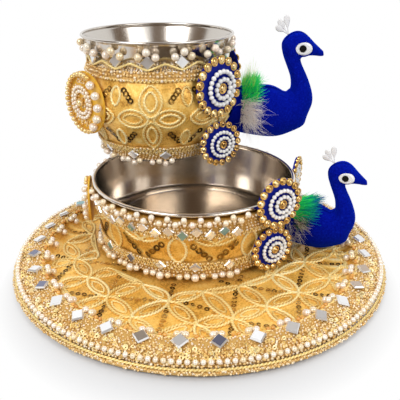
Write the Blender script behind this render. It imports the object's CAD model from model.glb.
import bpy
import math
import numpy as np
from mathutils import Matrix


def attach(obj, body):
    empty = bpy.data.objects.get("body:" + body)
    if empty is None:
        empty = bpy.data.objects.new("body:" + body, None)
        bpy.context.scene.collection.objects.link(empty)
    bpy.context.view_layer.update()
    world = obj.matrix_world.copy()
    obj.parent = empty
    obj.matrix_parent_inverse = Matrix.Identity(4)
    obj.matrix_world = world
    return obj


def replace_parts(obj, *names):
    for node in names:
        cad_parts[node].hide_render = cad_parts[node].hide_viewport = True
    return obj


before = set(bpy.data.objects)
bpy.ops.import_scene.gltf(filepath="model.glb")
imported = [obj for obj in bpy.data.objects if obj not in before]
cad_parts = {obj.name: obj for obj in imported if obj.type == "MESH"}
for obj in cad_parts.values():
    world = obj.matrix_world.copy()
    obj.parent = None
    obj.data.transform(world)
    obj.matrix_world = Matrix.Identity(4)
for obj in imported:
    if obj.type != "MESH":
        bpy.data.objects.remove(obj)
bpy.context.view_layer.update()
rng = np.random.default_rng(11)
tau = 2 * math.pi
scene = bpy.context.scene
print("stage: frame loaded")

# the three vessels in millimetres: where they stand, and their outlines as corners of radius and height
vesselShapes = dict(
    bowlAt=(-5.0, 27.5, 4.05), potReach=72, potTurn=116, potRise=59.75,
    thali=([(146.5, 4.6), (131.0, 12.4), (119.0, 3.0), (0, 3.0)], [4.0, 6.0]),
    bowl=([(70.8, 0), (75, 0), (80.5, 35.5), (88, 91.75)], [2.0, 60.0]),
    pot=([(0, 0), (46, 0), (70.5, 49), (57.5, 86.7), (66, 104.3)], [8.0, 40.4, 5.2]),
    bowlWithPanel=(
        [(0, 15), (67.8, 15), (70.8, 0), (75, 0), (80.5, 35.5), (83.5, 58)], [3.0, 1.4, 2.0, 60.0],
    ),
)


# mesh building; every piece is computed in millimetres and stored in metres


def meshObject(name, verts, faces, material, body, values=None, smooth=True):
    # points and faces enter the mesh as whole arrays, and each named value as one number per point
    mesh = bpy.data.meshes.new(name)
    count, sides = faces.shape
    mesh.vertices.add(len(verts))
    mesh.vertices.foreach_set("co", (np.asarray(verts) * 0.001).astype(np.float32).ravel())
    mesh.loops.add(count * sides)
    mesh.loops.foreach_set("vertex_index", faces.astype(np.int32).ravel())
    mesh.polygons.add(count)
    mesh.polygons.foreach_set("loop_start", np.arange(0, count * sides, sides, dtype=np.int32))
    mesh.polygons.foreach_set("use_smooth", np.full(count, smooth))
    for key, value in (values or {}).items():
        layer = mesh.attributes.new(key, "FLOAT", "POINT")
        layer.data.foreach_set("value", np.asarray(value, dtype=np.float32))
    mesh.update(calc_edges=True)
    mesh.validate()
    obj = bpy.data.objects.new(name, mesh)
    scene.collection.objects.link(obj)
    obj.data.materials.append(material)
    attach(obj, body)
    return obj


def gridFaces(rows, columns, wrapRows=False, wrapColumns=False):
    # quads between neighbouring rows and columns of a grid, joined end to start where it wraps
    grid = np.arange(rows * columns).reshape(rows, columns)
    grid = np.pad(grid, ((0, int(wrapRows)), (0, int(wrapColumns))), mode="wrap")
    return np.stack([grid[:-1, :-1], grid[:-1, 1:], grid[1:, 1:], grid[1:, :-1]], -1).reshape(-1, 4)


def ringFan(columns):
    # quads that close a ring of points, spread from its first point
    k = np.arange(1, columns - 1, 2)
    return np.stack([0 * k, k, k + 1, np.minimum(k + 2, columns - 1)], -1)


def repeated(faces, copies, points):
    # the faces of one shape, renumbered for each of its copies
    return (faces[None] + (np.arange(copies) * points)[:, None, None]).reshape(-1, faces.shape[1])


def unit(v):
    # each vector divided by its length
    return v / np.maximum(np.linalg.norm(v, axis=-1, keepdims=True), 1e-9)


def swung(reach, height, angle):
    # reach along x, swung by the angle round the upright axis, at its height
    return np.stack([reach * np.cos(angle), reach * np.sin(angle), height + 0 * angle], -1)


def turnedBy(angle, middle):
    # how far an angle lies from a middle in degrees, the short way round
    return np.abs((angle - math.radians(middle) + math.pi) % tau - math.pi)


def turnedProfile(corners, bends, step=0.4):
    # straight runs joined by tangent arcs; the outside lies to the right of the travel
    def line(p, q):
        return p + (q - p) * np.linspace(0, 1, max(2, int(np.linalg.norm(q - p) / step)))[:, None]

    c = np.array(corners, float)
    runs = []
    start = c[0]
    for i, bend in enumerate(bends):
        back = unit(c[i] - c[i + 1])
        ahead = unit(c[i + 2] - c[i + 1])
        half = math.acos(float(np.clip(back @ ahead, -1, 1))) / 2
        centre = c[i + 1] + unit(back + ahead) * bend / math.sin(half)
        a = c[i + 1] + back * bend / math.tan(half)
        b = c[i + 1] + ahead * bend / math.tan(half)
        turn0 = math.atan2(*(a - centre)[::-1])
        sweep = (math.atan2(*(b - centre)[::-1]) - turn0 + math.pi) % tau - math.pi
        arc = turn0 + sweep * np.linspace(0, 1, max(6, int(abs(sweep) * bend / step)))
        runs += [line(start, a), centre + bend * np.stack([np.cos(arc), np.sin(arc)], -1)]
        start = b
    points = np.concatenate(runs + [line(start, c[-1])])
    keep = np.append(True, np.linalg.norm(np.diff(points, axis=0), axis=1) > 1e-4)
    points = points[keep]
    travel = np.append(0, np.cumsum(np.linalg.norm(np.diff(points, axis=0), axis=1)))
    along = unit(np.gradient(points, travel, axis=0))
    normal = np.stack([along[:, 1], -along[:, 0]], -1)
    return dict(points=points, travel=travel, normal=normal)


def readProfile(profile, travel):
    # point and normal at a travel, read between the profile's points
    def read(key):
        return np.stack([np.interp(travel, profile["travel"], profile[key][:, k]) for k in (0, 1)], -1)

    return read("points"), unit(read("normal"))


def radiusAt(profile, travel):
    # distance from the axis at a travel
    return float(readProfile(profile, np.array([travel]))[0][0, 0])


def onTurned(vessel, travel, angle, lift):
    # a point on a turned surface: read along the profile, raised along its normal, swung round the axis
    point, normal = readProfile(vessel["profile"], travel)
    flat = point + normal * np.asarray(lift)[..., None]
    place = swung(flat[..., 0], flat[..., 1], angle) + vessel["at"]
    return place, swung(normal[..., 0], normal[..., 1], angle)


def travelAtHeight(vessel, height):
    # the travel where a wall that only rises reaches a height
    profile = vessel["profile"]
    return np.interp(height, profile["points"][:, 1], profile["travel"])


def vesselOf(name, at):
    # what the pieces on a vessel ask for: its body's name, its place and its outside
    return dict(name=name, at=at, profile=turnedProfile(*vesselShapes[name]))


bowlAt = np.array(vesselShapes["bowlAt"])
potTurn = math.radians(vesselShapes["potTurn"])
potReach = vesselShapes["potReach"]
potOff = [potReach * math.cos(potTurn), potReach * math.sin(potTurn), vesselShapes["potRise"]]
potAt = bowlAt + np.array(potOff)
thali = vesselOf("thali", np.zeros(3))
bowl = vesselOf("bowl", bowlAt)
pot = vesselOf("pot", potAt)


def looseParts(node):
    # middles and half widths of a CAD node's separate solids: each vertex takes the lowest number along
    # its edges until nothing changes, so every solid ends with a number of its own
    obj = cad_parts[node]
    mesh = obj.data
    co = np.empty(len(mesh.vertices) * 3, np.float32)
    mesh.vertices.foreach_get("co", co)
    co = co.reshape(-1, 3) @ np.array(obj.matrix_world)[:3, :3].T + np.array(obj.matrix_world)[:3, 3]
    edges = np.empty(len(mesh.edges) * 2, np.int32)
    mesh.edges.foreach_get("vertices", edges)
    _, same = np.unique(np.round(co * 1e6).astype(np.int64), axis=0, return_inverse=True)
    same = same.ravel()
    edges = same[edges.reshape(-1, 2)]
    label = np.arange(same.max() + 1)
    while True:
        low = np.minimum(label[edges[:, 0]], label[edges[:, 1]])
        fresh = label.copy()
        np.minimum.at(fresh, edges[:, 0], low)
        np.minimum.at(fresh, edges[:, 1], low)
        fresh = fresh[fresh]
        if (fresh == label).all():
            break
        label = fresh
    _, part = np.unique(label[same], return_inverse=True)
    low = np.full((part.max() + 1, 3), 1e9)
    high = np.full((part.max() + 1, 3), -1e9)
    np.minimum.at(low, part, co)
    np.maximum.at(high, part, co)
    return (low + high) * 500, (high - low).mean(1) * 500  # half of each, from metres to millimetres


def framesOn(vessel, centres):
    # axes of a small piece on a turned surface: round the axis, along the profile, outward
    away = centres - vessel["at"]
    angle = np.arctan2(away[:, 1], away[:, 0])
    flat = np.stack([np.hypot(away[:, 0], away[:, 1]), away[:, 2]], -1)
    profile = vessel["profile"]
    nearest = np.argmin(np.linalg.norm(flat[:, None] - profile["points"][None], axis=2), axis=1)
    normal = profile["normal"][nearest]
    out = swung(normal[:, 0], normal[:, 1], angle)
    around = np.stack([-np.sin(angle), np.cos(angle), 0 * angle], -1)
    return np.stack([around, np.cross(out, around), out], -1)


def framesFrom(out):
    # axes of a small piece that faces outward: level sideways, upward, outward
    side = unit(np.cross(np.array([0.0, 0.0, 1.0]) + 0 * out, out) + np.array([1e-4, 0, 0]))
    return np.stack([side, np.cross(out, side), out], -1)


def tilted(frames, amount, seed):
    # each piece leans by its own small angle
    lean = np.random.default_rng(seed).normal(0, amount, (len(frames), 2))
    side, along, out = np.moveaxis(frames, 2, 0)
    out = unit(out + side * lean[:, :1] + along * lean[:, 1:])
    side = unit(side - out * (side * out).sum(1, keepdims=True))
    return np.stack([side, np.cross(out, side), out], -1)


def scatter(name, shape, centres, sizes, frames, material, body, tint, smooth=True):
    # one small shape copied to every place, each copy turned to its own axes and scaled
    verts, faces = shape[:2]
    sizes = np.asarray(sizes, float)
    sizes = sizes[:, None] * np.ones(3) if sizes.ndim == 1 else sizes
    local = verts[None] * sizes[:, None, :]
    placed = np.einsum("nij,nvj->nvi", frames, local) + centres[:, None]
    values = dict(tint=np.repeat(tint, len(verts)))
    if len(shape) > 2:
        values["pane"] = np.tile(shape[2], len(centres))
    allFaces = repeated(faces, len(centres), len(verts))
    return meshObject(name, placed.reshape(-1, 3), allFaces, material, body, values, smooth=smooth)


def roundBead(segments=10, rings=6):
    # a small ball: circles of latitude between two short polar caps
    lat = np.linspace(-math.pi / 2 + 0.18, math.pi / 2 - 0.18, rings + 1)[:, None]
    lon = np.linspace(0, tau, segments, endpoint=False)[None]
    verts = swung(np.cos(lat), np.sin(lat), lon).reshape(-1, 3)
    faces = gridFaces(rings + 1, segments, wrapColumns=True)
    fan = ringFan(segments)
    return verts, np.concatenate([faces, fan[:, ::-1], fan + rings * segments])


pearlShape = roundBead(12, 7)
smallPearl = roundBead(9, 5)
seedBead = roundBead(6, 3)


def stackedRings(rows, sides):
    # circles of radius and height, turned on by a share of one side, with bands of quads between them
    turn = np.linspace(0, tau, sides, endpoint=False)
    verts = np.concatenate([swung(r, h, turn + twist * tau / sides) for r, h, twist in rows])
    return verts, gridFaces(len(rows), sides, wrapColumns=True)


# a flat dished ring with a hole, and a thin cup with outer wall, rolled edge and inner wall
ringSequin = stackedRings([(0.42, 0.10, 0), (0.72, 0.0, 0), (1.0, 0.16, 0)], 12)
goldCup = stackedRings([
    (0.96, 0.0, 0), (1.0, 0.35, 0), (0.97, 0.72, 0), (0.86, 0.80, 0), (0.76, 0.62, 0), (0.72, 0.2, 0),
], 12)


def cutStone():
    # a brilliant crown: girdle, eight sloping facets and a table
    rows = [(0.80, 0.30, 0.0), (0.80, 0.55, 0.0), (0.62, 0.90, 0.5), (0.34, 1.12, 0.0)]
    verts, faces = stackedRings(rows, 8)
    return verts, np.concatenate([faces, ringFan(8) + 24])


def diamondPlate():
    # a square plate on its corner: foot, sloping silver bevel and a pane of its own inside the bevel
    corner = np.array([(1, 0), (0, 1), (-1, 0), (0, -1)], float)
    rows = [(1.0, 0.0), (1.0, 0.35), (0.82, 0.96), (0.82, 1.0)]
    verts = np.concatenate([np.column_stack([corner * s, np.full(4, h)]) for s, h in rows])
    pane = np.repeat([0.0, 0.0, 0.0, 1.0], 4)
    return verts, np.concatenate([gridFaces(3, 4, wrapColumns=True), [[12, 13, 14, 15]]]), pane


ropeSwell = 0.34


def cords(name, paths, outward, radius, material, body, sides=6, closed=True, twist=0.0, tint=None):
    # a rope carried along each path: the section is a circle swollen on two sides, turning as it goes
    ahead = (np.roll(paths, -1, 1) - np.roll(paths, 1, 1)) if closed else np.gradient(paths, axis=1)
    ahead = unit(ahead)
    side = unit(np.cross(ahead, outward))
    up = np.cross(side, ahead)
    step = np.linalg.norm(np.diff(paths, axis=1, append=paths[:, :1]), axis=2)
    travelled = np.cumsum(step, axis=1)[..., None]
    turn = np.linspace(0, tau, sides, endpoint=False)[None, None]
    thick = np.broadcast_to(radius, paths.shape[:2])[..., None]
    strand = np.cos(2 * turn - twist * travelled)
    swell = thick * (1 + (ropeSwell if twist else 0.0) * strand)
    ring = side[..., None, :] * (np.cos(turn) * swell)[..., None]
    ring = ring + up[..., None, :] * (np.sin(turn) * swell)[..., None]
    verts = paths[:, :, None] + ring
    n, m = paths.shape[:2]
    faces = repeated(gridFaces(m, sides, wrapRows=closed, wrapColumns=True), n, m * sides)
    shade = (tint if tint is not None else np.zeros(n))[:, None, None] + 0 * swell
    if twist:
        shade = 0.55 * shade + 0.45 * (0.5 + 0.5 * strand)
    return meshObject(name, verts.reshape(-1, 3), faces, material, body, dict(tint=shade.ravel()))


def lathe(name, points, vessel, material, segments):
    # a profile swung all the way round the axis, closed where it meets the axis
    turn = np.linspace(0, tau, segments, endpoint=False)
    verts = swung(points[:, None, 0], points[:, None, 1], turn) + vessel["at"]
    fan = ringFan(segments)
    faces = gridFaces(len(points), segments, wrapColumns=True)
    faces = np.concatenate([faces, fan[:, ::-1], fan + (len(points) - 1) * segments])
    return meshObject(name, verts.reshape(-1, 3), faces, material, vessel["name"])


# materials


def newMaterial(name):
    # a new material with its main shader and its node tree
    material = bpy.data.materials.new(name)
    material.use_nodes = True
    return material, material.node_tree.nodes["Principled BSDF"], material.node_tree


def setAll(node, **values):
    # sockets by their names, with low lines for spaces; three numbers are a colour
    for key, value in values.items():
        socket = node.inputs[key.replace("_", " ")]
        socket.default_value = (*value, 1) if isinstance(value, tuple) and len(value) == 3 else value


def plain(name, colour, **values):
    # one colour and one finish all over
    material, shader, _ = newMaterial(name)
    setAll(shader, Base_Color=colour, **values)
    return material


def colourRamp(tree, value, stops, colours):
    # a ramp with one stop for each colour, read by the value
    ramp = tree.nodes.new("ShaderNodeValToRGB")
    while len(ramp.color_ramp.elements) < len(colours):
        ramp.color_ramp.elements.new(0.5)
    for element, stop, colour in zip(ramp.color_ramp.elements, stops, colours):
        element.position = stop
        element.color = (*colour, 1)
    tree.links.new(value, ramp.inputs["Fac"])
    return ramp.outputs["Color"]


def mathNode(tree, operation, *values):
    # a math node fed by sockets and plain numbers
    node = tree.nodes.new("ShaderNodeMath")
    node.operation = operation
    for socket, value in zip(node.inputs, values):
        if isinstance(value, bpy.types.NodeSocket):
            tree.links.new(value, socket)
        else:
            socket.default_value = value
    return node.outputs[0]


def attribute(tree, name):
    # a value stored on the mesh
    node = tree.nodes.new("ShaderNodeAttribute")
    node.attribute_name = name
    return node.outputs["Fac"]


def tinted(name, colours, stops=None, **values):
    # colour read from a ramp by the tint stored on the mesh
    material, shader, tree = newMaterial(name)
    setAll(shader, **values)
    stops = stops or np.linspace(0, 1, len(colours)).tolist()
    colour = colourRamp(tree, attribute(tree, "tint"), stops, colours)
    tree.links.new(colour, shader.inputs["Base Color"])
    return material


def grainGroup():
    # noise over the piece's own coordinates, stretched: the grain of tissue and velvet
    group = bpy.data.node_groups.new("clothGrain", "ShaderNodeTree")
    inputs = dict(Scale="NodeSocketFloat", Detail="NodeSocketFloat", Stretch="NodeSocketVector")
    for name, kind in inputs.items():
        group.interface.new_socket(name, in_out="INPUT", socket_type=kind)
    group.interface.new_socket("Height", in_out="OUTPUT", socket_type="NodeSocketFloat")
    entry, leave = group.nodes.new("NodeGroupInput"), group.nodes.new("NodeGroupOutput")
    kinds = ("ShaderNodeTexCoord", "ShaderNodeMapping", "ShaderNodeTexNoise")
    place, mapping, texture = [group.nodes.new(kind) for kind in kinds]
    group.links.new(place.outputs["Object"], mapping.inputs["Vector"])
    group.links.new(entry.outputs["Stretch"], mapping.inputs["Scale"])
    group.links.new(mapping.outputs["Vector"], texture.inputs["Vector"])
    group.links.new(entry.outputs["Scale"], texture.inputs["Scale"])
    group.links.new(entry.outputs["Detail"], texture.inputs["Detail"])
    group.links.new(texture.outputs["Fac"], leave.inputs["Height"])
    return group


clothGrain = grainGroup()


def grain(tree, scale, detail, stretch=(1, 1, 1)):
    # the grain group placed in a material with its own values
    node = tree.nodes.new("ShaderNodeGroup")
    node.node_tree = clothGrain
    for key, value in (("Scale", scale), ("Detail", detail), ("Stretch", stretch)):
        node.inputs[key].default_value = value
    return node.outputs["Height"]


def bump(tree, shader, height, strength, distance):
    # the height tilts the shader's normal
    node = tree.nodes.new("ShaderNodeBump")
    setAll(node, Strength=strength, Distance=distance)
    tree.links.new(height, node.inputs["Height"])
    tree.links.new(node.outputs["Normal"], shader.inputs["Normal"])


def goldTissue(name, stops, colours):
    # satin tissue: broad streaks, fine glitter and the height of the folds pick the shade from a ramp
    material, shader, tree = newMaterial(name)
    setAll(shader, Roughness=0.38, Metallic=0.3)
    setAll(shader, Sheen_Weight=0.1, Sheen_Roughness=0.4, Sheen_Tint=(1.0, 0.75, 0.35))
    total = attribute(tree, "fold")
    for height, share in ((grain(tree, 60, 5.0, (1, 1, 2.2)), 0.9), (grain(tree, 750, 2.0), 0.75)):
        total = mathNode(tree, "MULTIPLY_ADD", height, share, total)
    level = tree.nodes.new("ShaderNodeMapRange")
    setAll(level, From_Min=0.55, From_Max=1.55)
    tree.links.new(total, level.inputs["Value"])
    colour = colourRamp(tree, level.outputs["Result"], stops, colours)
    tree.links.new(colour, shader.inputs["Base Color"])
    bump(tree, shader, grain(tree, 260, 3.0), 0.4, 0.0006)
    return material


def blueVelvet(name, stops, colours):
    # pile that catches the light: fine noise picks the blue, finer noise is the nap
    material, shader, tree = newMaterial(name)
    setAll(shader, Roughness=0.9, Specular_IOR_Level=0.0)
    setAll(shader, Sheen_Weight=0.6, Sheen_Roughness=0.45, Sheen_Tint=(0.01, 0.09, 1.0))
    tree.links.new(colourRamp(tree, grain(tree, 700, 5.0), stops, colours), shader.inputs["Base Color"])
    bump(tree, shader, grain(tree, 1100, 2.0), 0.25, 0.0004)
    return material


def mirrorGlass(name, stops, colours, silver):
    # the pane shows the tint of its mirror, the bevel round it plain silver
    material = tinted(name, colours, stops, Roughness=0.12, Metallic=0.6)
    tree = material.node_tree
    mix = tree.nodes.new("ShaderNodeMix")
    mix.data_type = "RGBA"
    mix.inputs["A"].default_value = (*silver, 1)
    tree.links.new(attribute(tree, "pane"), mix.inputs["Factor"])
    tree.links.new(tree.nodes["Color Ramp"].outputs["Color"], mix.inputs["B"])
    tree.links.new(mix.outputs["Result"], tree.nodes["Principled BSDF"].inputs["Base Color"])
    return material


steelMat = plain("turnedSteel", (0.76, 0.70, 0.63), Metallic=1.0, Roughness=0.14)
potSteelMat = plain("satinSteel", (0.62, 0.58, 0.53), Metallic=1.0, Roughness=0.2)
clothMat = goldTissue(
    "goldTissue", [0.05, 0.36, 0.68, 1.0],
    [(0.42, 0.17, 0.012), (0.88, 0.50, 0.09), (1.0, 0.70, 0.22), (1.0, 0.88, 0.50)],
)
cordMat = tinted(
    "goldCord", [(0.55, 0.29, 0.04), (0.98, 0.74, 0.28), (1.0, 0.92, 0.56)], Roughness=0.3, Metallic=0.2,
)
laceMat = plain("laceGround", (0.58, 0.34, 0.09), Roughness=0.5, Metallic=0.3)
seedMat = tinted(
    "seedBead", [(0.78, 0.47, 0.14), (0.94, 0.72, 0.38), (0.92, 0.80, 0.64)], Roughness=0.25, Metallic=0.25,
)
pearlMat = tinted(
    "pearl", [(0.93, 0.74, 0.46), (0.98, 0.89, 0.74), (0.97, 0.82, 0.68)],
    Roughness=0.16, Metallic=0.3, Coat_Weight=0.6, Coat_Roughness=0.05,
)
goldBeadMat = tinted(
    "goldBead", [(0.82, 0.52, 0.15), (0.97, 0.78, 0.42)], Roughness=0.15, Metallic=0.6, Coat_Weight=0.3,
)
amberMat = tinted("amberBead", [(0.62, 0.26, 0.04), (0.85, 0.45, 0.10)], Roughness=0.15, Coat_Weight=0.5)
whitePearlMat = tinted(
    "whitePearl", [(0.90, 0.89, 0.87), (0.98, 0.97, 0.96)], Roughness=0.25, Coat_Weight=0.3,
)
mirrorMat = mirrorGlass(
    "mirrorGlass", [0.0, 0.5, 0.7, 0.85, 1.0],
    [(0.80, 0.80, 0.80), (0.90, 0.90, 0.90), (0.50, 0.40, 0.32), (0.26, 0.46, 0.48), (0.20, 0.21, 0.30)],
    (0.86, 0.86, 0.86),
)
satinMat = plain("blueSatin", (0.002, 0.010, 0.25), Roughness=0.45, Specular_IOR_Level=0.12)
yellowMat = plain("yellowSatin", (0.86, 0.50, 0.05), Roughness=0.4, Metallic=0.2)
cupMat = plain("goldCup", (0.80, 0.52, 0.16), Roughness=0.22, Metallic=0.8)
stoneMat = tinted(
    "cutStone", [(0.50, 0.27, 0.05), (0.98, 0.80, 0.42)], Roughness=0.05, Metallic=0.85, Coat_Weight=0.8,
)
velvetMat = blueVelvet(
    "blueVelvet", [0.30, 0.60, 0.74, 0.82],
    [(0.0012, 0.004, 0.20), (0.002, 0.008, 0.31), (0.003, 0.016, 0.42), (0.10, 0.16, 0.62)],
)
eyeMat = plain("eyeWhite", (0.88, 0.88, 0.88), Roughness=0.15, Coat_Weight=0.5)
pupilMat = plain("pupilBlack", (0.003, 0.003, 0.003), Roughness=0.25, Specular_IOR_Level=0.25)
crestMat = plain("crestWhite", (0.80, 0.79, 0.79), Roughness=0.7, Specular_IOR_Level=0.1)
greenMat = tinted(
    "greenFeather",
    [(0.80, 0.86, 0.25), (0.10, 0.98, 0.20), (0.01, 0.82, 0.20), (0.01, 0.30, 0.42), (0.01, 0.12, 0.55)],
    [0.0, 0.2, 0.55, 0.8, 1.0], Roughness=0.7, Specular_IOR_Level=0.05,
)
buffMat = tinted(
    "buffFeather",
    [(0.05, 0.03, 0.012), (0.02, 0.22, 0.10), (0.70, 0.55, 0.40), (0.92, 0.82, 0.76), (0.99, 0.95, 0.93)],
    [0.0, 0.2, 0.4, 0.62, 1.0], Roughness=0.7, Specular_IOR_Level=0.05,
)
feltMat = plain("felt", (0.05, 0.03, 0.015), Roughness=0.95)
pipingMat = plain("pipingCord", (0.62, 0.38, 0.12), Roughness=0.4, Metallic=0.3)
sequinMat = tinted(
    "sequin", [(0.07, 0.035, 0.008), (0.30, 0.16, 0.03), (0.85, 0.55, 0.16)], [0, 0.45, 1.0],
    Roughness=0.2, Metallic=0.8,
)
print("stage: materials")


def smoothStep(value, low, high):
    # nought below the low end, one above the high end, and an even S between them
    t = np.clip((value - low) / (high - low), 0, 1)
    return t * t * (3 - 2 * t)


def creases(u, v, seed, scale, count=7):
    # thin crease ridges: waves in several directions, bent by slower waves, kept only near their crests
    gen = np.random.default_rng(seed)
    total = 0 * u
    for _ in range(count):
        turn = gen.uniform(0, math.pi)
        along = (u * math.cos(turn) + v * math.sin(turn)) / scale
        across = (v * math.cos(turn) - u * math.sin(turn)) / scale
        bend = 0.9 * np.sin(across * gen.uniform(0.5, 1.1) + gen.uniform(0, tau))
        slow = np.sin(across * 0.7 + gen.uniform(0, tau)), np.sin(along * 0.31 + gen.uniform(0, tau))
        fade = 0.5 + 0.5 * slow[0] * slow[1]
        crest = 1 - np.abs(np.sin(along * gen.uniform(0.7, 1.5) + bend + gen.uniform(0, tau)))
        total = total + fade * crest ** 3
    return total / count


# steel vessels: outer wall, rolled lip and inner wall turned round the axis

steelParts = dict(wall=0.9, segments=144, step=1.4, potLip=1.2, bowlLip=1.5, hub=0.02)


def vesselProfile(corners, bends, lip):
    # the outside, then most of a small circle for the rolled lip, then the inside
    wall = steelParts["wall"]
    path = turnedProfile(corners, bends, steelParts["step"])
    outer = path["points"]
    inner = (outer - path["normal"] * wall)[::-1]
    centre = outer[-1] - np.array([wall / 2, 0])
    turn = np.linspace(-0.35 * math.pi, 1.35 * math.pi, 20)
    bead = centre + lip * np.stack([np.cos(turn), np.sin(turn)], -1)
    inner[:, 0] = np.maximum(inner[:, 0], steelParts["hub"])
    outer[:, 0] = np.maximum(outer[:, 0], steelParts["hub"])
    return np.concatenate([outer[:-1], bead, inner[1:]])


potShape = vesselProfile(*vesselShapes["pot"], steelParts["potLip"])
bowlShape = vesselProfile(*vesselShapes["bowlWithPanel"], steelParts["bowlLip"])
potSteel = lathe("potSteel", potShape, pot, potSteelMat, steelParts["segments"])
bowlSteel = lathe("bowlSteel", bowlShape, bowl, steelMat, steelParts["segments"])
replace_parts(potSteel, "pot_vessel")
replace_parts(bowlSteel, "bowl_vessel")
print("stage: steel vessels")


# tissue on the thali: polar grid, gathered at the ridge, creased over the floor, flat under the bowl

thaliCloth = dict(
    rings=150, spokes=560, edgeRadius=126.2, crowding=1.25, hub=0.9985, rest=0.5, foldShare=2.6,
    gather=2.0, pleats=58, frontCalm=(0.1, 0.7), gatherStart=(88, 116), gatherEnd=(121, 126),
    crease=1.9, seed=5, scale=9.0, creaseEnd=(119, 125), bowlFoot=(78, 94),
)


def thaliLift(x, y):
    # height over the dish: rest, pleats that grow towards the ridge at the sides and back,
    # and creases outside the bowl's foot
    r = np.hypot(x, y)
    a = np.arctan2(y, x)
    phase = thaliCloth["pleats"] * a + 2.6 * np.sin(5 * a + 1) + 1.9 * np.sin(11 * a + 0.4)
    front = smoothStep(-np.sin(a), *thaliCloth["frontCalm"])
    pleat = np.clip(np.sin(phase), 0, 1) ** 1.4 * (0.65 + 0.35 * np.sin(3 * a + 1.7)) * (1 - 0.85 * front)
    free = smoothStep(np.hypot(x - bowlAt[0], y - bowlAt[1]), *thaliCloth["bowlFoot"])
    edge = smoothStep(r, *thaliCloth["gatherStart"]) * (1 - 0.8 * smoothStep(r, *thaliCloth["gatherEnd"]))
    soft = creases(x, y, thaliCloth["seed"], thaliCloth["scale"])
    soft = soft * (1 - 0.7 * smoothStep(r, *thaliCloth["creaseEnd"]))
    return thaliCloth["rest"] + free * (edge * thaliCloth["gather"] * pleat + thaliCloth["crease"] * soft)


def onThali(x, y, lift):
    # a point over the tissue: the profile is read by the distance from the axis
    profile = thali["profile"]
    travel = np.interp(-np.hypot(x, y), -profile["points"][:, 0], profile["travel"])
    return onTurned(thali, travel, np.arctan2(y, x), thaliLift(x, y) + lift)


def floorCloth(rings, spokes):
    # rings from the edge to the axis, crowded at the edge, and a fan over the last ring
    spoke = np.linspace(0, tau, spokes, endpoint=False)[None]
    ring = np.linspace(0.0, 1.0, rings)[:, None] ** thaliCloth["crowding"] * thaliCloth["hub"]
    ring = thaliCloth["edgeRadius"] * (1 - ring)
    x, y = ring * np.cos(spoke), ring * np.sin(spoke)
    points, _ = onThali(x, y, 0.0)
    faces = gridFaces(rings, spokes, wrapColumns=True)
    faces = np.concatenate([faces, ringFan(spokes) + (rings - 1) * spokes])
    folds = (thaliLift(x, y) - thaliCloth["rest"]) / thaliCloth["foldShare"]
    values = dict(fold=folds.ravel())
    return meshObject("floorTissue", points.reshape(-1, 3), faces, clothMat, "thali", values)


floorTissue = floorCloth(thaliCloth["rings"], thaliCloth["spokes"])
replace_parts(floorTissue, "thali_floor_cloth")
print("stage: thali tissue")


# tissue round the bowl and the pot: grids along the profile, creased, drawn tight at both edges

wallTissue = dict(
    columns=480, rows=88, rest=0.4, crease=1.9, scale=6.5, tight=0.12, seamAt=90, seam=0.25, foldShare=1.2,
    bowl=dict(heights=(5.7, 54.8), radius=78.0, seed=21),
    pot=dict(heights=(5.9, 81.4), radius=64.0, seed=33),
)


def wallLift(vessel, u, v):
    # height over the wall: rest, and creases that fade out towards both edges
    cloth = wallTissue[vessel["name"]]
    low, high = travelAtHeight(vessel, np.array(cloth["heights"]))
    share = np.clip((v - low) / (high - low), 0, 1)
    free = smoothStep(share, 0.0, wallTissue["tight"]) * smoothStep(1 - share, 0.0, wallTissue["tight"])
    soft = creases(u, v, cloth["seed"], wallTissue["scale"])
    return wallTissue["rest"] + wallTissue["crease"] * free * soft


def wallCloth(vessel, node):
    # one turn of tissue; the creases fade out flat at the seam at the back, so both ends meet
    body, rest = vessel["name"], wallTissue["rest"]
    rows, columns = wallTissue["rows"], wallTissue["columns"]
    v = np.linspace(*travelAtHeight(vessel, np.array(wallTissue[body]["heights"])), rows)[:, None]
    a = np.linspace(0, tau, columns, endpoint=False)[None]
    fade = smoothStep(turnedBy(a, wallTissue["seamAt"]), 0.0, wallTissue["seam"])
    lift = rest + (wallLift(vessel, a * wallTissue[body]["radius"], v) - rest) * fade
    points, _ = onTurned(vessel, v + 0 * a, a + 0 * v, lift)
    folds = (lift - rest) / wallTissue["crease"] * wallTissue["foldShare"]
    faces = gridFaces(rows, columns, wrapColumns=True)
    values = dict(fold=folds.ravel())
    cloth = meshObject(body + "Tissue", points.reshape(-1, 3), faces, clothMat, body, values)
    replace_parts(cloth, node)


wallCloth(bowl, "bowl_wall_cloth")
wallCloth(pot, "pot_body_cloth")
print("stage: wall tissue")


# embroidery: couched cords in lens-shaped petals between lattice points, and chains of ring sequins

stitching = dict(
    pitch=31.5, turn=33.0, anchor=(-22.0, -78.1), cells=9, petalWidth=11.6,
    petalsInside=126, petalsOutside=76, ridgePress=(110.0, 124.0), footPress=(98.0, 84.0),
    points=120, cordRadius=1.0, twist=2.3, lift=0.55, innerShare=0.56, innerRadius=0.75, innerLift=0.45,
    ringSize=1.95, ringLift=0.3, ringLean=0.2, ringCount=7, ringShare=0.33, ringsInside=121, ringsOutside=79,
    wallRingLift=0.35, wallRingLean=0.15, wallRingCount=4,
)


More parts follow.
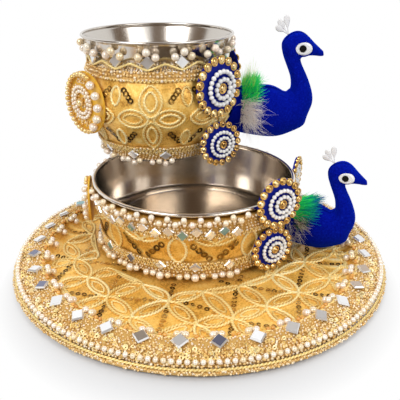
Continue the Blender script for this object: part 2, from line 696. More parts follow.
def petalLoops(starts, ends, width):
    # a closed loop between two points: half a cosine along, a sine crossed with a parabola across
    t = np.linspace(0, tau, stitching["points"], endpoint=False)[None, :, None]
    share = (1 - np.cos(t)) / 2
    along = (ends - starts)[:, None]
    side = unit(np.stack([-(ends - starts)[:, 1], (ends - starts)[:, 0]], -1))[:, None]
    bow = 0.6 * np.sin(t) + 0.4 * (1 - (2 * share - 1) ** 2) * np.sign(np.sin(t))
    width = np.asarray(width).reshape(-1, 1, 1)
    return starts[:, None] + along * (0.02 + 0.96 * share) + side * bow * width / 2


def chain(starts, ends, count):
    # evenly spaced points from each start to its end
    t = np.linspace(0, 1, count)[None, :, None]
    return (starts[:, None] * (1 - t) + ends[:, None] * t).reshape(-1, 2)


def warped(p):
    # the lattice sways by slow sines and drops towards the viewer on the right
    drop = 11 * smoothStep(p[..., 0], -10, 28)
    sway = np.stack([2.2 * np.sin(p[..., 1] / 19 + 1), 2.2 * np.sin(p[..., 0] / 23 + 2) - drop], -1)
    return p + sway


def fitted(p):
    # petals are pressed in from the ridge and out from the bowl's foot: past a start, distance nears a stop
    def press(p, middle, start, stop):
        away = p - middle
        reach = np.linalg.norm(away, axis=-1, keepdims=True)
        span = stop - start
        pressed = stop - span * np.exp(-np.clip((reach - start) / span, 0, None))
        return middle + away / reach * np.where((reach - start) / span > 0, pressed, reach)

    return press(press(p, np.zeros(2), *stitching["ridgePress"]), bowlAt[:2], *stitching["footPress"])


def onFloor(p, inside, outside):
    # which points lie inside a circle round the dish and outside one round the bowl
    return (np.linalg.norm(p, axis=1) < inside) & (np.linalg.norm(p - bowlAt[:2], axis=1) > outside)


turn = math.radians(stitching["turn"])
latticeX = stitching["pitch"] * np.array([math.cos(turn), math.sin(turn)])
latticeY = stitching["pitch"] * np.array([-math.sin(turn), math.cos(turn)])
cells = np.arange(-stitching["cells"], stitching["cells"] + 1)
i, j = np.meshgrid(cells, cells, indexing="ij")
nodes = np.array(stitching["anchor"]) + i[..., None] * latticeX + j[..., None] * latticeY
starts = np.concatenate([nodes.reshape(-1, 2), nodes.reshape(-1, 2)])
ends = np.concatenate([(nodes + latticeX).reshape(-1, 2), (nodes + latticeY).reshape(-1, 2)])
loops = petalLoops(warped(starts), warped(ends), stitching["petalWidth"])
loops = fitted(loops[onFloor(loops.mean(1), stitching["petalsInside"], stitching["petalsOutside"])])
place, out = onThali(loops[..., 0], loops[..., 1], stitching["lift"])
cords(
    "thaliPetals", place, out, stitching["cordRadius"], cordMat, "thali",
    twist=stitching["twist"], tint=rng.uniform(0.2, 1.0, len(loops)),
)
middle = loops.mean(1, keepdims=True)
inner = middle + (loops[:, ::2] - middle) * stitching["innerShare"]
place, out = onThali(inner[..., 0], inner[..., 1], stitching["innerLift"])
cords(
    "thaliInnerPetals", place, out, stitching["innerRadius"], cordMat, "thali", sides=5,
    twist=stitching["twist"], tint=rng.uniform(0, 0.7, len(inner)),
)
cell = nodes.reshape(-1, 2) + (latticeX + latticeY) / 2
flip = np.where((i + j).reshape(-1, 1) % 2 == 0, 1.0, -1.0)
half = (latticeX + latticeY * flip) * stitching["ringShare"]
rings = warped(chain(cell - half, cell + half, stitching["ringCount"]))
rings = rings[onFloor(rings, stitching["ringsInside"], stitching["ringsOutside"])]
place, out = onThali(rings[:, 0], rings[:, 1], stitching["ringLift"])
ringTint = 0.5 + 0.5 * np.sin(rings[:, 0] / 9 + rings[:, 1] / 13) + rng.normal(0, 0.25, len(rings))
scatter(
    "thaliSequins", ringSequin, place, np.full(len(place), stitching["ringSize"]),
    tilted(framesFrom(out), stitching["ringLean"], 3), sequinMat, "thali", np.clip(ringTint, 0, 1),
)


def wallStitching(vessel, first, count, ringSize, tint, petals, chains):
    # petals and chains set round the wall at even angles, laid over the creased tissue
    body = vessel["name"]
    radius, seed = wallTissue[body]["radius"], wallTissue[body]["seed"]
    column = (first + np.arange(count) * 360 / count)[:, None, None]

    def flat(rows):
        # every row once in each column, unrolled: distance round the wall and travel along the profile
        rows = np.array(rows, float)
        angle = (column + rows[:, 0:3:2]).reshape(-1, 2)
        height = np.tile(rows[:, 1:4:2], (count, 1))
        return np.stack([np.radians(angle) * radius, travelAtHeight(vessel, height)], -1)

    def onTissue(p, lift):
        # unrolled points back on the creased wall
        over = wallLift(vessel, p[..., 0], p[..., 1]) + lift
        return onTurned(vessel, p[..., 1], p[..., 0] / radius, over)

    widths = np.tile([row[4] for row in petals], count)
    petals, chains = flat(petals), flat(chains)
    chainTint = rng.uniform(0, tint, len(chains))
    place, out = onTissue(petalLoops(petals[:, 0], petals[:, 1], widths), stitching["lift"])
    cords(
        body + "Petals", place, out, stitching["cordRadius"], cordMat, body,
        twist=stitching["twist"], tint=rng.uniform(0.2, 1, len(petals)),
    )
    spots = chain(chains[:, 0], chains[:, 1], stitching["wallRingCount"])
    place, out = onTissue(spots, stitching["wallRingLift"])
    tint = np.repeat(chainTint, stitching["wallRingCount"]) + rng.normal(0, 0.12, len(spots))
    scatter(
        body + "Sequins", ringSequin, place, np.full(len(place), ringSize),
        tilted(framesFrom(out), stitching["wallRingLean"], seed), sequinMat, body, np.clip(tint, 0, 1),
    )


# the pot has large flowers, four petals each with a smaller petal inside, and dark chains between them;
# the bowl has upright ovals with slanting chains between them
# each row holds the degrees and height of its start, then of its end; a petal's width comes last
flowers = dict(
    pot=dict(
        first=268, count=7, ringSize=2.6, tint=0.45,
        petals=[
            (0, 43.5, 0, 18, 15), (0, 46.5, 0, 72, 17), (-1.5, 45, -24, 45.6, 15), (1.5, 45, 24, 45.6, 15),
            (0, 39, 0, 22.5, 8), (0, 51.5, 0, 67, 9.5), (-6, 45, -20, 45.5, 8), (6, 45, 20, 45.5, 8),
            (25.7, 70, 25.7, 55, 8), (25.7, 35, 25.7, 20, 8),
        ],
        chains=[
            (-19.5, 67, -14, 59.5), (14, 59.5, 19.5, 67), (-21, 24, -13.5, 32), (13.5, 32, 21, 24),
        ],
    ),
    bowl=dict(
        first=262, count=9, ringSize=2.7, tint=0.6,
        petals=[(0, 40.0, 0, 16.5, 13.0), (9, 39, 20, 33, 4.5), (31, 39, 20, 33, 4.5)],
        chains=[(8.5, 32, 17, 21), (23, 21, 31.5, 32)],
    ),
)
wallStitching(pot, **flowers["pot"])
wallStitching(bowl, **flowers["bowl"])
print("stage: embroidery")


# laces: the CAD bands as ground, with rows of seed beads and zigzag threads sewn over them

laces = dict(
    overBraid=2.3, overRim=1.2, jitter=(0.004, 0.35), beadLean=0.5, beadSizes=(0.7, 1.25),
    sharp=0.75, wavePoints=8, threadSides=5,
)


def sewn(name, shape, place, frames, gen, sizes, tints, material, body, grow=1.0):
    # small pieces of random size and tint
    n = len(place)
    sizes = grow * gen.uniform(*sizes, n)
    scatter(name, shape, place, sizes, frames, material, body, gen.uniform(*tints, n))


def beadRows(name, vessel, travels, spacing, radius, lift, seed):
    # rings of seed beads, every other ring set on by half a bead, each bead a little out of place
    gen = np.random.default_rng(seed)
    spots = []
    for row, travel in enumerate(travels):
        count = int(tau * radiusAt(vessel["profile"], travel) / spacing)
        a = (np.arange(count) + 0.5 * (row % 2)) * tau / count
        spots.append(np.stack([a, np.full(count, travel)], -1))
    spots = np.concatenate(spots)
    spots = spots + gen.normal(0, 1, spots.shape) * np.array(laces["jitter"])
    place, out = onTurned(vessel, spots[:, 1], spots[:, 0], np.full(len(spots), lift))
    frames = tilted(framesFrom(out), laces["beadLean"], seed)
    sizes = laces["beadSizes"]
    sewn(name, seedBead, place, frames, gen, sizes, (0, 1), seedMat, vessel["name"], grow=radius)


def zigzag(name, vessel, travel, swing, pitch, lift, thick):
    # a thread that runs round the axis and swings up and down: a sine raised towards a triangle
    waves = int(tau * radiusAt(vessel["profile"], travel) / pitch)
    a = np.linspace(0, tau, waves * laces["wavePoints"], endpoint=False)[None]
    wave = np.arcsin(laces["sharp"] * np.sin(waves * a)) / math.asin(laces["sharp"])
    place, out = onTurned(vessel, travel + swing * wave, a, np.full(a.shape, lift))
    sides = laces["threadSides"]
    thread = cords(name, place, out, thick, cordMat, vessel["name"], sides=sides, tint=np.array([0.5]))


def bandTravels(vessel, low, high):
    # both edges of a band, from heights to travels
    return travelAtHeight(vessel, low), travelAtHeight(vessel, high)


over, overRim = laces["overBraid"], laces["overRim"]
rows = 0.6 + 1.5 * np.arange(8)
beadRows("rimSeeds", thali, rows, spacing=2.3, radius=0.9, lift=overRim + 0.35, seed=7)
rows = 12.6 + 1.6 * np.arange(6)
beadRows("ridgeSeeds", thali, rows, spacing=2.4, radius=0.75, lift=overRim + 0.25, seed=13)
# loose rings of thread over the rim
rimThreads = dict(count=900, travels=(0.8, 12.5), sizes=(1.2, 1.9), lift=1.0, lean=0.7)
n = rimThreads["count"]
gen = np.random.default_rng(14)
a, travel = gen.uniform(0, tau, n), gen.uniform(*rimThreads["travels"], n)
place, out = onTurned(thali, travel, a, np.full(n, overRim + rimThreads["lift"]))
frames = tilted(framesFrom(out), rimThreads["lean"], 15)
sewn("rimLoops", ringSequin, place, frames, gen, rimThreads["sizes"], (0.2, 1), cordMat, "thali")
zigzag("ridgeLoops", thali, 21.0, swing=2.2, pitch=6.4, lift=overRim + 0.5, thick=0.7)

low, high = bandTravels(bowl, 39.4, 54.4)
rows = np.linspace(low + 0.6, high - 1.0, 6)
beadRows("bowlRimSeeds", bowl, rows, spacing=2.7, radius=0.95, lift=over + 0.3, seed=8)
zigzag("bowlRimZigzag", bowl, low + 1.6, swing=2.0, pitch=4.2, lift=over + 0.3, thick=0.45)
# small pearls under the lip, with gaps behind the peacock and the medallion: middle and half width in degrees
rimPearls = dict(count=150, gaps=((-16, 50), (186, 19)), below=0.6, depth=2.6, lift=1.0, sizes=(1.2, 1.7))
rimAngle = np.arange(rimPearls["count"]) * tau / rimPearls["count"]
for gapMiddle, gapHalf in rimPearls["gaps"]:
    rimAngle = rimAngle[turnedBy(rimAngle, gapMiddle) > math.radians(gapHalf)]
n = len(rimAngle)
travel = high - rimPearls["below"] - rimPearls["depth"] * gen.random(n)
place, out = onTurned(bowl, travel, rimAngle, np.full(n, over + rimPearls["lift"]))
sewn("bowlRimSmall", smallPearl, place, framesFrom(out), gen, rimPearls["sizes"], (0, 0.6), pearlMat, "bowl")
low, high = bandTravels(bowl, 6.1, 17.7)
rows = np.linspace(low + 0.5, high - 0.5, 5)
beadRows("bowlBaseSeeds", bowl, rows, spacing=2.7, radius=0.9, lift=over + 0.25, seed=9)
zigzag("bowlBaseZigzag", bowl, high - 1.8, swing=1.7, pitch=3.6, lift=over + 0.4, thick=0.42)
zigzag("bowlBaseZigzagLow", bowl, high - 5.0, swing=1.7, pitch=3.6, lift=over + 0.4, thick=0.42)

low, high = bandTravels(pot, 73.9, 81.0)
rows = np.linspace(low + 0.9, high - 0.9, 3)
beadRows("potNeckSeeds", pot, rows, spacing=2.9, radius=1.25, lift=over + 0.6, seed=10)
rows = high + 0.2 + 1.5 * np.arange(5)
beadRows("potShoulderSeeds", pot, rows, spacing=2.3, radius=1.05, lift=0.8, seed=16)
zigzag("potNeckZigzag", pot, low + 0.4, swing=0.9, pitch=3.2, lift=over + 0.3, thick=0.5)
low, high = bandTravels(pot, 6.3, 18.4)
rows = np.linspace(low + 0.5, high - 0.5, 6)
beadRows("potBaseSeeds", pot, rows, spacing=2.7, radius=0.9, lift=over + 0.25, seed=12)
zigzag("potBaseZigzag", pot, high - 1.8, swing=1.7, pitch=3.4, lift=over + 0.4, thick=0.42)
zigzag("potBaseZigzagLow", pot, high - 5.2, swing=1.7, pitch=3.4, lift=over + 0.4, thick=0.42)

# a thick gold zigzag stands before the neck, low at every mirror and high between them
neck = dict(
    waves=14, points=24, sharp=0.96, start=9.0, reach=62.1, foot=82.7, rise=6.0, radius=0.95, twist=2.2,
)
a = np.linspace(0, tau, neck["waves"] * neck["points"], endpoint=False)[None]
wave = np.arccos(neck["sharp"] * np.cos(neck["waves"] * (a - math.radians(neck["start"])))) / math.pi
peak = swung(neck["reach"], neck["foot"] + neck["rise"] * wave, a) + potAt
neckCord = cords(
    "neckZigzag", peak, swung(1.0, 0.0, a), neck["radius"], cordMat, "pot",
    twist=neck["twist"], tint=np.array([0.6]),
)

# the piping round the lower edge, with a twisted rope above it
edge = dict(points=1800, reach=148.2, height=2.1, radius=1.42)
rope = dict(reach=147.9, height=4.5, radius=0.95, twist=2.4)
circle = np.linspace(0, tau, edge["points"], endpoint=False)[None]
hoopOut = swung(1.0, 0.0, circle)
hoop = swung(edge["reach"], edge["height"], circle)
piping = cords("edgePiping", hoop, hoopOut, edge["radius"], pipingMat, "thali", sides=8)
hoop = swung(rope["reach"], rope["height"], circle)
edgeRope = cords(
    "edgeRope", hoop, hoopOut, rope["radius"], cordMat, "thali", twist=rope["twist"], tint=np.array([0.4]),
)
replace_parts(piping, "thali_edge_piping")

# seed beads sit on the upper outer quarter of the piping, so the edge reads as beaded lace
edgeSeeds = dict(count=960, girth=1.6, leans=(-0.1, 1.5), sizes=(0.6, 0.95))
n = edgeSeeds["count"]
gen = np.random.default_rng(17)
a = (np.arange(n) + gen.uniform(-0.3, 0.3, n)) * tau / n
lean = gen.uniform(*edgeSeeds["leans"], n)
reach = edge["reach"] + edgeSeeds["girth"] * np.cos(lean)
place = swung(reach, edge["height"] + edgeSeeds["girth"] * np.sin(lean), a)
frames = tilted(framesFrom(swung(np.cos(lean), np.sin(lean), a)), laces["beadLean"], 18)
sewn("edgeSeeds", seedBead, place, frames, gen, edgeSeeds["sizes"], (0, 1), seedMat, "thali")
print("stage: laces")


# pearls, beads, mirrors and stones stand exactly where the CAD solids stand


def pearlsOf(node, material, body, seed, shape=pearlShape, grow=1.0):
    # a round bead for each solid of the node, turned at random
    centres, radii = looseParts(node)
    gen = np.random.default_rng(seed)
    frames = framesFrom(unit(gen.normal(0, 1, (len(centres), 3))))
    tint = gen.uniform(0, 1, len(centres))
    piece = scatter(node + "Round", shape, centres, radii * grow, frames, material, body, tint)
    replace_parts(piece, node)


pearlsOf("thali_edge_pearls", pearlMat, "thali", 41, smallPearl)
pearlsOf("thali_ridge_pearls", pearlMat, "thali", 42)
pearlsOf("thali_ridge_beads", amberMat, "thali", 43, smallPearl)
for body in ("bowl", "pot"):
    pearlsOf(body + "_rosette_pearls", whitePearlMat, body, 44, smallPearl, grow=1.12)
    pearlsOf(body + "_medallion_pearls", pearlMat, body, 45)
    pearlsOf(body + "_medallion_beads", goldBeadMat, body, 46)
    pearlsOf(body + "_base_pearls", pearlMat, body, 47)
pearlsOf("bowl_rim_pearls", pearlMat, "bowl", 48, grow=0.92)
pearlsOf("pot_neck_pearls", pearlMat, "pot", 49)

# small beads fill a medallion between its edge and the double pearl ring, and the middle of that ring
medallions = dict(
    bowl=dict(heading=186.0, reach=19.0), pot=dict(heading=224.0, reach=26.5),
    edge=(0.58, 0.80, 150), heart=(0.12, 0.27, 24), shift=0.13, right=0.55, lift=1.3, sizes=(0.7, 1.15),
)
for body in ("bowl", "pot"):
    disc = looseParts(body + "_medallion_disc")[0][0]
    turn = math.radians(medallions[body]["heading"])
    facing = np.array([math.cos(turn), math.sin(turn), 0.0])
    right = np.array([-facing[1], facing[0], 0.0])
    gen = np.random.default_rng(58)
    share = np.concatenate([gen.uniform(*medallions["edge"]), gen.uniform(*medallions["heart"])])
    turn = gen.uniform(0, tau, len(share))
    atEdge = share > 0.5
    across = share * np.cos(turn) - np.where(atEdge, 0.0, medallions["shift"])
    upward = share * np.sin(turn)
    outside = np.hypot(across + medallions["shift"], upward) > medallions["edge"][0]
    keep = ~atEdge | (outside & (across < medallions["right"]))
    spots = across[:, None] * right + upward[:, None] * np.array([0, 0, 1.0])
    spots = disc + medallions[body]["reach"] * spots + facing * medallions["lift"]
    spots = spots[keep]
    frames = framesFrom(facing + 0 * spots)
    sewn(body + "MedallionSeeds", seedBead, spots, frames, gen, medallions["sizes"], (0, 1), seedMat, body)

# panes are silver, brown, teal or dark, by tint and how often each is drawn
mirrors = dict(
    thick=1.5, uneven=(0.94, 1.06), tints=[0.05, 0.3, 0.5, 0.7, 0.72, 0.85, 1.0],
    odds=[0.22, 0.26, 0.26, 0.08, 0.08, 0.07, 0.03],
)


def mirrorsOf(node, vessel, seed, half, lean, upright=False):
    # a diamond plate for each solid of the node, flat on the wall or upright
    centres, _ = looseParts(node)
    n = len(centres)
    frames = framesOn(vessel, centres)
    if upright:
        away = centres - vessel["at"]
        frames = framesFrom(swung(1.0, 0.0, np.arctan2(away[:, 1], away[:, 0])))
    gen = np.random.default_rng(seed)
    frames = tilted(frames, lean, seed)
    centres = centres - frames[:, :, 2] * (mirrors["thick"] / 2)
    wide, tall = (half * gen.uniform(*mirrors["uneven"], n) for _ in range(2))
    sizes = np.stack([wide, tall, np.full(n, mirrors["thick"])], -1)
    tint = gen.choice(mirrors["tints"], n, p=mirrors["odds"])
    glass = scatter(
        node + "Glass", diamondPlate(), centres, sizes, frames, mirrorMat, vessel["name"], tint, smooth=False,
    )
    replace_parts(glass, node)


mirrorsOf("thali_ridge_mirrors", thali, 51, half=5.66, lean=0.10)
mirrorsOf("bowl_rim_mirrors", bowl, 52, half=4.5, lean=0.08)
mirrorsOf("bowl_base_mirrors", bowl, 53, half=4.4, lean=0.08)
mirrorsOf("pot_neck_mirrors", pot, 54, half=5.66, lean=0.08, upright=True)
mirrorsOf("pot_base_mirrors", pot, 55, half=5.2, lean=0.08)

rosettes = dict(stones=17, ring=0.92, share=0.92, uneven=0.05, heart=0.195, tall=2.6, heartTall=3.1)


def stonesOf(vessel):
    # each stone belongs to the nearest disc; a disc faces along the thin direction of its ring of stones,
    # away from the axis
    def nearestDisc(centres):
        return np.argmin(np.linalg.norm(centres[:, None] - discs[None], axis=2), axis=1)

    body = vessel["name"]
    kinds = ("discs", "stones", "hearts")
    discs, stones, hearts = (looseParts(body + "_rosette_" + kind)[0] for kind in kinds)
    owner, heartOwner = nearestDisc(stones), nearestDisc(hearts)
    middle = np.stack([stones[owner == k].mean(0) for k in range(len(discs))])
    spokes = [stones[owner == k] - middle[k] for k in range(len(discs))]
    facing = np.stack([np.linalg.svd(spoke)[2][2] for spoke in spokes])
    facing = facing * np.sign((facing * (middle - vessel["at"])).sum(1))[:, None]
    right = unit(np.cross(np.array([0.0, 0.0, 1.0]), facing))
    ring = np.array([np.linalg.norm(spoke, axis=1).mean() for spoke in spokes])
    hand = np.zeros(len(discs))
    hand[heartOwner] = np.sign(((hearts - middle[heartOwner]) * right[heartOwner]).sum(1))
    across = ((stones - middle[owner]) * right[owner]).sum(1) / ring[owner]
    share = rosettes["share"] - rosettes["uneven"] * hand[owner] * across
    stoneSize = ring[owner] * math.pi / rosettes["stones"] * share
    heartSize = ring[heartOwner] / rosettes["ring"] * rosettes["heart"]
    for kind, centres, disc, size, tall in (
        ("stones", stones, owner, stoneSize, rosettes["tall"]),
        ("hearts", hearts, heartOwner, heartSize, rosettes["heartTall"]),
    ):
        node = body + "_rosette_" + kind
        frames = framesFrom(facing[disc])
        foot = centres - frames[:, :, 2] * tall / 2
        sizes = np.stack([size, size, np.full(len(size), tall * 0.9)], -1)
        shade = np.random.default_rng(60).uniform(0, 1, len(centres))
        cup = scatter(node + "Cups", goldCup, foot, sizes, frames, cupMat, body, shade)
        stone = scatter(node + "Glass", cutStone(), foot, sizes, frames, stoneMat, body, shade, smooth=False)
        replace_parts(stone, node)


stonesOf(bowl)
stonesOf(pot)
print("stage: pearls, mirrors and stones")


# peacocks: velvet bodies from the frame, feathers as bundles of tapering strands

# where a figure stands: its size, the height and angle of its tail's root, its distance off the wall
# and its heading
figures = dict(
    bowl=dict(size=0.82, height=3.0, angle=-14.0, standoff=-1.2, heading=-18.0),
    pot=dict(size=1.0, height=12.2, angle=-4.0, standoff=4.9, heading=0.0),
    wallHeight=24, wallCover=2.45,
)
feathers = dict(points=9, sides=3)


def strands(name, roots, heads, lengths, droop, thickness, material, body, tint):
    # each strand leaves its root along its heading, bends by the droop times the share squared, and tapers
    t = np.linspace(0, 1, feathers["points"])[None, :, None]
    paths = roots[:, None] + heads[:, None] * lengths[:, None, None] * t + droop[:, None] * t ** 2
    radius = thickness[:, None] * (1 - 0.85 * t[..., 0] ** 1.5)
    sideways = unit(np.cross(heads, np.array([0.3, 0.5, 0.81])))[:, None] + 0 * paths
    sides = feathers["sides"]
    return cords(name, paths, sideways, radius, material, body, sides=sides, closed=False, tint=tint)


# the figure's trunk: middle height, half height and half width along its length; tufts grow on its skin
trunk = dict(
    x=[-8, 2, 13, 25, 36], middle=[24.8, 25.2, 24.9, 23.9, 23.2],
    tall=[18.8, 21.2, 23.2, 23.9, 21.6], wide=[13.0, 14.4, 15.4, 16.2, 16.0],
)
plumes = dict(
    pot=dict(
        top_plume=[
            dict(count=1000, along=(3, 17), round=(0, 62), lift=0.8, lean=(0.45, 0, 0.2), spread=0.45,
                 length=(5, 12), curl=5, thick=(0.14, 0.30), tint=(0.42, 0.16), fade=0.0),
            dict(count=70, along=(4, 14), round=(0, 30), lift=1.0, lean=(0.1, 0, 0.6), spread=0.36,
                 length=(12, 21), curl=5, thick=(0.08, 0.15), tint=(0.02, 0.04), fade=0.0),
        ],
        side_plumes=[
            dict(count=900, along=(2, 11), round=(56, 112), lift=0.6, lean=(0.75, 0, -0.3), spread=0.40,
                 length=(6, 17), curl=6, thick=(0.10, 0.24), tint=(0.80, 0.16), fade=0.0),
            dict(count=240, along=(4, 22), round=(70, 140), lift=0.35, lean=(0.7, 0, -0.5), spread=0.5,
                 length=(6, 15), curl=7, thick=(0.06, 0.13), tint=(0.9, 0.12), fade=0.0),
        ],
    ),
    bowl=dict(
        top_plume=[
            dict(count=900, along=(5, 20), round=(0, 66), lift=0.22, lean=(1.0, 0, 0.1), spread=0.14,
                 length=(10, 20), curl=2.5, thick=(0.16, 0.34), tint=(0.62, 0.12), fade=0.03),
        ],
        side_plumes=[
            dict(count=240, along=(9, 19), round=(50, 84), lift=0.4, lean=(0.8, 0, -0.3), spread=0.3,
                 length=(8, 15), curl=6, thick=(0.12, 0.26), tint=(0.3, 0.3), fade=0.0),
            dict(count=160, along=(3, 18), round=(75, 130), lift=0.3, lean=(0.5, 0, -0.5), spread=0.5,
                 length=(7, 13), curl=6, thick=(0.06, 0.12), tint=(0.9, 0.12), fade=0.0),
        ],
    ),
)
crestShape = dict(
    root=(42.0, 91.2), lengths=(13.5, 15.5, 16.5), fans=(-58, -36, -8), splay=1.4,
    rows=14, sides=10, stem=0.4, wide=2.7, thin=0.5, swell=(0.25, 0.72), tip=0.28,
)


def crestBlades(name, spot, body):
    # three leaves on thin stems: each section is a flat ellipse that swells past the middle
    # and closes at the tip
    fan = np.radians(crestShape["fans"])[:, None, None]
    length = np.array(crestShape["lengths"])[:, None, None]
    rows, sides = crestShape["rows"], crestShape["sides"]
    t = np.linspace(0, 1, rows)[None, :, None]
    s = np.linspace(0, tau, sides, endpoint=False)[None, None]
    past = np.clip((t - crestShape["swell"][1]) / crestShape["tip"], 0, 1)
    close = np.sqrt(np.clip(1 - past ** 2, 0.004, 1))
    stem = crestShape["stem"]
    across = (stem + (crestShape["wide"] - stem) * smoothStep(t, *crestShape["swell"])) * close * np.cos(s)
    forward = np.sin(fan) * length * t + np.cos(fan) * across
    upward = np.cos(fan) * length * t - np.sin(fan) * across
    lean = np.linspace(-crestShape["splay"], crestShape["splay"], len(fan))[:, None, None] * t
    sideways = lean + crestShape["thin"] * np.sin(s) * close + 0.05 * across ** 2
    rootX, rootZ = crestShape["root"]
    leaf = np.stack(np.broadcast_arrays(rootX + forward, sideways, rootZ + upward), -1)
    cap = ringFan(sides)
    faces = np.concatenate([gridFaces(rows, sides, wrapColumns=True), cap[:, ::-1], cap + (rows - 1) * sides])
    faces = repeated(faces, len(fan), rows * sides)
    return meshObject(name, spot(leaf).reshape(-1, 3), faces, crestMat, body)


def birdRoot(vessel, size, height, angle, standoff):
    # the root of the tail: off the wall at the height of the trunk's middle, swung to its angle
    wall = radiusAt(vessel["profile"], travelAtHeight(vessel, height + figures["wallHeight"] * size))
    reach = wall + figures["wallCover"] + standoff
    return np.array([reach * math.cos(math.radians(angle)), reach * math.sin(math.radians(angle)), height])


def peacock(vessel, size, height, angle, standoff, heading):
    # places on the figure: forward, left and up from the root of the tail, in the figure's own size
    body = vessel["name"]
    root = birdRoot(vessel, size, height, angle, standoff)
    turn = math.radians(heading)
    ahead = np.array([math.cos(turn), math.sin(turn), 0])
    left = np.array([-math.sin(turn), math.cos(turn), 0])
    up = np.array([0, 0, 1.0])

    def spot(p):
        p = np.asarray(p, float) * size
        return vessel["at"] + root + p[..., :1] * ahead + p[..., 1:2] * left + p[..., 2:] * up

    def way(p):
        # a direction on the figure, of length one
        return unit(p[..., :1] * ahead + p[..., 1:2] * left + p[..., 2:] * up)

    crest = crestBlades(body + "Crest", spot, body)
    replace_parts(crest, body + "_peacock_crest")
    plumeLooks = (("top_plume", greenMat, "green_feather"), ("side_plumes", buffMat, "buff_feather"))
    for node, material, slotName in plumeLooks:
        for k, tuft in enumerate(plumes[body][node]):
            gen = np.random.default_rng(70 + k)
            n = tuft["count"]
            side = np.where(np.arange(n) % 2 == 0, 1.0, -1.0)
            x = gen.uniform(*tuft["along"], n)
            turn = np.radians(gen.uniform(*tuft["round"], n)) * side
            middle, tall, wide = (np.interp(x, trunk["x"], trunk[key]) for key in ("middle", "tall", "wide"))
            skin = np.stack([x, (wide + 0.3) * np.sin(turn), middle + (tall + 0.3) * np.cos(turn)], -1)
            normal = unit(np.stack([0 * x, np.sin(turn) / wide, np.cos(turn) / tall], -1))
            lean = np.array(tuft["lean"]) * np.stack([np.ones(n), side, np.ones(n)], -1)
            heads = way(normal * tuft["lift"] + lean + gen.normal(0, tuft["spread"], (n, 3)))
            curl = way(gen.normal(0, 1, (n, 3)) + 0.5 * normal) * size * tuft["curl"]
            curl = curl * gen.uniform(0.2, 1, (n, 1))
            tint = np.clip(gen.normal(*tuft["tint"], n) + tuft["fade"] * (x - x.mean()), 0, 1)
            name = body + node.title().replace("_", "") + str(k)
            lengths = size * gen.uniform(*tuft["length"], n)
            thick = gen.uniform(*tuft["thick"], n)
            piece = strands(name, spot(skin), heads, lengths, curl, thick, material, body, tint)
            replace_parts(piece, body + "_peacock_" + node) if k == 0 else piece


peacock(bowl, **figures["bowl"])
peacock(pot, **figures["pot"])
print("stage: peacocks")


# finishes of the CAD nodes that show

shown = dict(
    thali_dish=steelMat, thali_base_pad=feltMat, thali_rim_lace=laceMat,
    bowl_rim_braid=laceMat, pot_shoulder_braid=laceMat,
)
vesselLooks = dict(
    base_braid=laceMat, rosette_discs=satinMat, medallion_disc=yellowMat,
    peacock_body=velvetMat, peacock_eyes=eyeMat, peacock_pupils=pupilMat,
)
for body in ("bowl", "pot"):
    shown.update({body + "_" + part: material for part, material in vesselLooks.items()})
for node, material in shown.items():
    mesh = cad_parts[node].data
    mesh.materials.clear()
    mesh.materials.append(material)
print("stage: CAD finishes")


# floor, world, lamps and camera

studio = dict(
    floorSize=6.0, floorDrop=0.0005, paper=(0.55, 0.55, 0.56),
    shadowAt=(0, -0.03, 0), shadowFade=(0.118, 0.154),
    skyStrength=0.42, lampPower=4.5, lampAim=(0, 0, 0.06),
)
view = dict(lens=49.48, sensor=36.0, place=(0.000389, -0.40509, 0.23140), tilt=65.804)


def seenRays(tree):
    # one for rays from the camera, from mirrors and through glass
    path = tree.nodes.new("ShaderNodeLightPath")
    total = path.outputs["Is Camera Ray"]
    for name in ("Is Glossy Ray", "Is Transmission Ray"):
        total = mathNode(tree, "MAXIMUM", total, path.outputs[name])
    return total


def paperFloor(name):
    # paper that takes a shadow near the thali; further out, to the rays that see it, it is white light
    material, shader, tree = newMaterial(name)
    tree.nodes.remove(shader)
    paper = tree.nodes.new("ShaderNodeBsdfDiffuse")
    setAll(paper, Color=studio["paper"])
    glow = tree.nodes.new("ShaderNodeEmission")
    setAll(glow, Color=(1, 1, 1))
    place = tree.nodes.new("ShaderNodeTexCoord")
    reach = tree.nodes.new("ShaderNodeVectorMath")
    reach.operation = "DISTANCE"
    reach.inputs[1].default_value = studio["shadowAt"]
    fade = tree.nodes.new("ShaderNodeMapRange")
    setAll(fade, From_Min=studio["shadowFade"][0], From_Max=studio["shadowFade"][1])
    blend = tree.nodes.new("ShaderNodeMixShader")
    tree.links.new(place.outputs["Object"], reach.inputs[0])
    tree.links.new(reach.outputs["Value"], fade.inputs["Value"])
    tree.links.new(mathNode(tree, "MULTIPLY", seenRays(tree), fade.outputs["Result"]), blend.inputs["Fac"])
    tree.links.new(paper.outputs[0], blend.inputs[1])
    tree.links.new(glow.outputs[0], blend.inputs[2])
    tree.links.new(blend.outputs[0], tree.nodes["Material Output"].inputs["Surface"])
    return material


def stageSheet(name, centre, across, upward, material):
    # a flat rectangle from its middle and two half sides
    centre, across, upward = (np.array(v, float) for v in (centre, across, upward))
    corners = [centre + a * across + b * upward for a, b in ((-1, -1), (1, -1), (1, 1), (-1, 1))]
    mesh = bpy.data.meshes.new(name)
    mesh.from_pydata([tuple(c) for c in corners], [], [(0, 1, 2, 3)])
    mesh.materials.append(material)
    obj = bpy.data.objects.new(name, mesh)
    scene.collection.objects.link(obj)
    return obj


size = studio["floorSize"]
stageSheet("paperFloor", (0, 0, -studio["floorDrop"]), (size, 0, 0), (0, size, 0), paperFloor("paperFloor"))

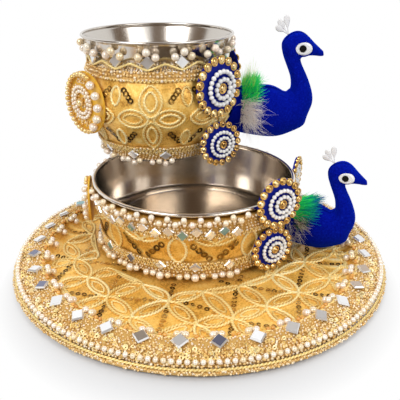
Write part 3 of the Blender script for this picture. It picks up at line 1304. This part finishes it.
# brown cards that only mirrors see stand in a ring; the gaps between them are the bright bands in the steel
cardRing = dict(
    reach=1.5, low=0.12, high=3.2, colour=(0.19, 0.13, 0.085), spans=[(-190, -150), (-110, -72), (-32, 10)],
)
cardMat = plain(
    "brownCard", (0.0, 0.0, 0.0), Roughness=1.0, Specular_IOR_Level=0.0,
    Emission_Color=cardRing["colour"], Emission_Strength=1.0,
)
# one card overhead, one on the floor in front, then the ring
cards = [((0, -0.15, 2.2), (1.6, 0, 0), (0, 1.0, 0)), ((0, -0.84, 0.001), (1.6, 0, 0), (0, 0.66, 0))]
middle = (cardRing["low"] + cardRing["high"]) / 2
for first, last in cardRing["spans"]:
    turn = math.radians((first + last) / 2)
    half = cardRing["reach"] * math.tan(math.radians((last - first) / 2))
    centre = (cardRing["reach"] * math.cos(turn), cardRing["reach"] * math.sin(turn), middle)
    across = (-half * math.sin(turn), half * math.cos(turn), 0)
    cards.append((centre, across, (0, 0, cardRing["high"] - middle)))
for k, (centre, across, upward) in enumerate(cards):
    card = stageSheet("brownCard%d" % k, centre, across, upward, cardMat)
    card.visible_camera = False
    card.visible_diffuse = False
    card.visible_shadow = False
    card.visible_transmission = False

# a white room, dimmer for the light it sheds than for the rays that see it
world = bpy.data.worlds.new("paleRoom")
scene.world = world
world.use_nodes = True
tree = world.node_tree
sky = tree.nodes["Background"]
level = tree.nodes.new("ShaderNodeMapRange")
setAll(level, To_Min=studio["skyStrength"], To_Max=1.0)
setAll(sky, Color=(1, 1, 1))
tree.links.new(seenRays(tree), level.inputs["Value"])
tree.links.new(level.outputs["Result"], sky.inputs["Strength"])


def softLamp(name, place, size, power, mirrored=True):
    # a square lamp turned towards the set
    lamp = bpy.data.lights.new(name, "AREA")
    lamp.shape = "SQUARE"
    lamp.size = size
    lamp.energy = power * studio["lampPower"]
    obj = bpy.data.objects.new(name, lamp)
    obj.location = place
    toward = np.array(studio["lampAim"]) - np.array(place)
    flat = math.hypot(toward[0], toward[1])
    obj.rotation_euler = (math.atan2(flat, -toward[2]), 0, math.atan2(-toward[0], toward[1]))
    obj.visible_glossy = mirrored
    scene.collection.objects.link(obj)


softLamp("keyLamp", (-0.7, -0.75, 1.0), size=0.7, power=2.2)
softLamp("fillLamp", (0.8, -0.7, 0.8), size=0.7, power=1.2)
softLamp("topLamp", (0.1, 0.5, 1.1), size=0.8, power=1.6, mirrored=False)

camera = bpy.data.cameras.new("camera")
camera.lens = view["lens"]
camera.sensor_width = view["sensor"]
cameraObj = bpy.data.objects.new("camera", camera)
cameraObj.location = view["place"]
cameraObj.rotation_euler = (math.radians(view["tilt"]), 0, 0)
scene.collection.objects.link(cameraObj)
scene.camera = cameraObj
scene.view_settings.view_transform = "Standard"
print("stage: studio")
